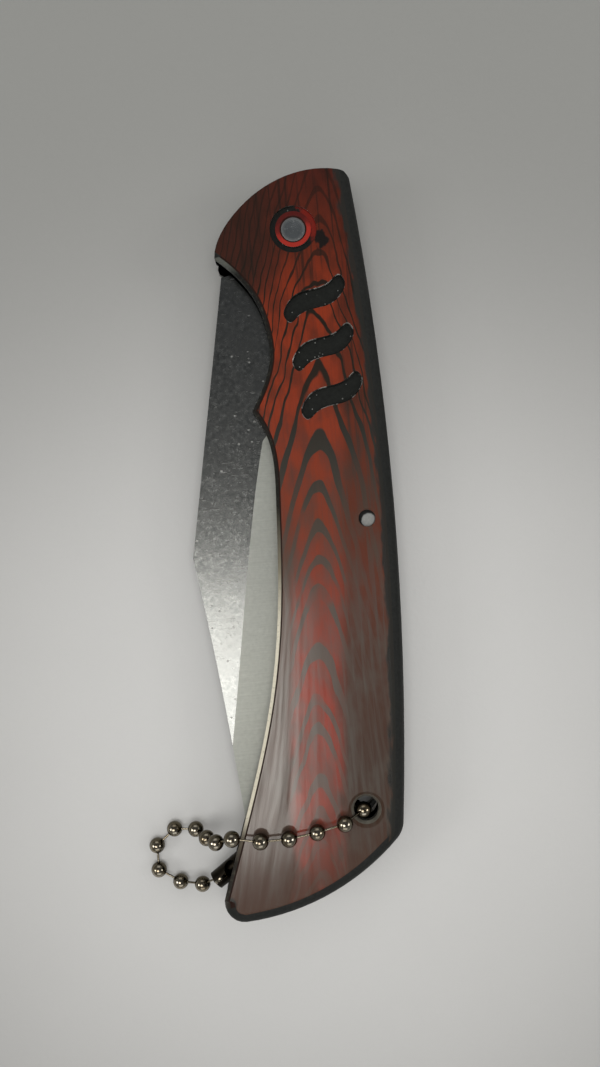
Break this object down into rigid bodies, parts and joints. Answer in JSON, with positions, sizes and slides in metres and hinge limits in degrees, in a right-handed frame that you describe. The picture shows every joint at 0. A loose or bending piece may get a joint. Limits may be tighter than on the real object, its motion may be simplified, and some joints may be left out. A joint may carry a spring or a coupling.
{
  "type": "folding pocket knife",
  "caption": "Closed folding pocket knife: clip-point blade between curved wood-print metal scales, back spring, pivot rivet, and a bead chain through the lanyard hole.",
  "frame": {"origin": "foot of the pivot axis on the rear face, which lies on the table", "axes": "+Z out of the front face along the pivot, +Y towards the pivot end, +X towards the spine"},
  "size_m": [0.0413, 0.1085, 0.0135],
  "materials": {
    "printed_metal": "glossy printed wood grain, worn to bare metal at the edges",
    "blade_steel": "scratched flat with ground bevels",
    "spring_steel": "plain ground",
    "rivet_steel": "spun and dull",
    "bearing_bronze": "plain",
    "chain_nickel": "bright nickel plate"
  },
  "bodies": {
    "handle": {"front_scale": "printed_metal", "rear_scale": "printed_metal", "back_spring": "spring_steel", "pivot_rivet": "rivet_steel", "spring_pin": "rivet_steel", "tail_dowel": "rivet_steel", "chain_connector": "chain_nickel", "rear_washer": "bearing_bronze", "front_washer": "bearing_bronze", "chain_bead_01": "chain_nickel", "chain_bead_02": "chain_nickel", "chain_bead_03": "chain_nickel", "chain_bead_04": "chain_nickel", "chain_bead_05": "chain_nickel", "chain_bead_06": "chain_nickel", "chain_bead_07": "chain_nickel", "chain_bead_08": "chain_nickel", "chain_bead_09": "chain_nickel", "chain_bead_10": "chain_nickel", "chain_bead_11": "chain_nickel", "chain_bead_12": "chain_nickel", "chain_bead_13": "chain_nickel", "chain_link_01": "chain_nickel", "chain_link_02": "chain_nickel", "chain_link_03": "chain_nickel", "chain_link_04": "chain_nickel", "chain_link_05": "chain_nickel", "chain_link_06": "chain_nickel", "chain_link_07": "chain_nickel", "chain_link_08": "chain_nickel", "chain_link_09": "chain_nickel", "chain_link_10": "chain_nickel", "chain_link_11": "chain_nickel", "chain_link_12": "chain_nickel", "chain_link_13": "chain_nickel"},
    "blade_body": {"blade": "blade_steel"},
    "chain_loop": {"chain_bead_14": "chain_nickel", "chain_bead_15": "chain_nickel", "chain_bead_16": "chain_nickel", "chain_bead_17": "chain_nickel", "chain_bead_18": "chain_nickel", "chain_bead_19": "chain_nickel", "chain_bead_20": "chain_nickel", "chain_bead_21": "chain_nickel", "chain_link_14": "chain_nickel", "chain_link_15": "chain_nickel", "chain_link_16": "chain_nickel", "chain_link_17": "chain_nickel", "chain_link_18": "chain_nickel", "chain_link_19": "chain_nickel", "chain_link_20": "chain_nickel"}
  },
  "joints": [
    {"name": "blade_hinge", "type": "hinge", "parent": "handle", "child": "blade_body", "pos_m": [0, 0, 0.0055], "axis": [0, 0, -1], "range_deg": [0, 180], "deforming": ["back_spring"]},
    {"name": "chain_loop_lift", "type": "hinge", "parent": "handle", "child": "chain_loop", "pos_m": [-0.01999, -0.08836, 0.00707], "axis": [-0.1902, 0.9514, 0.2422], "range_deg": [0, 30]}
  ]
}
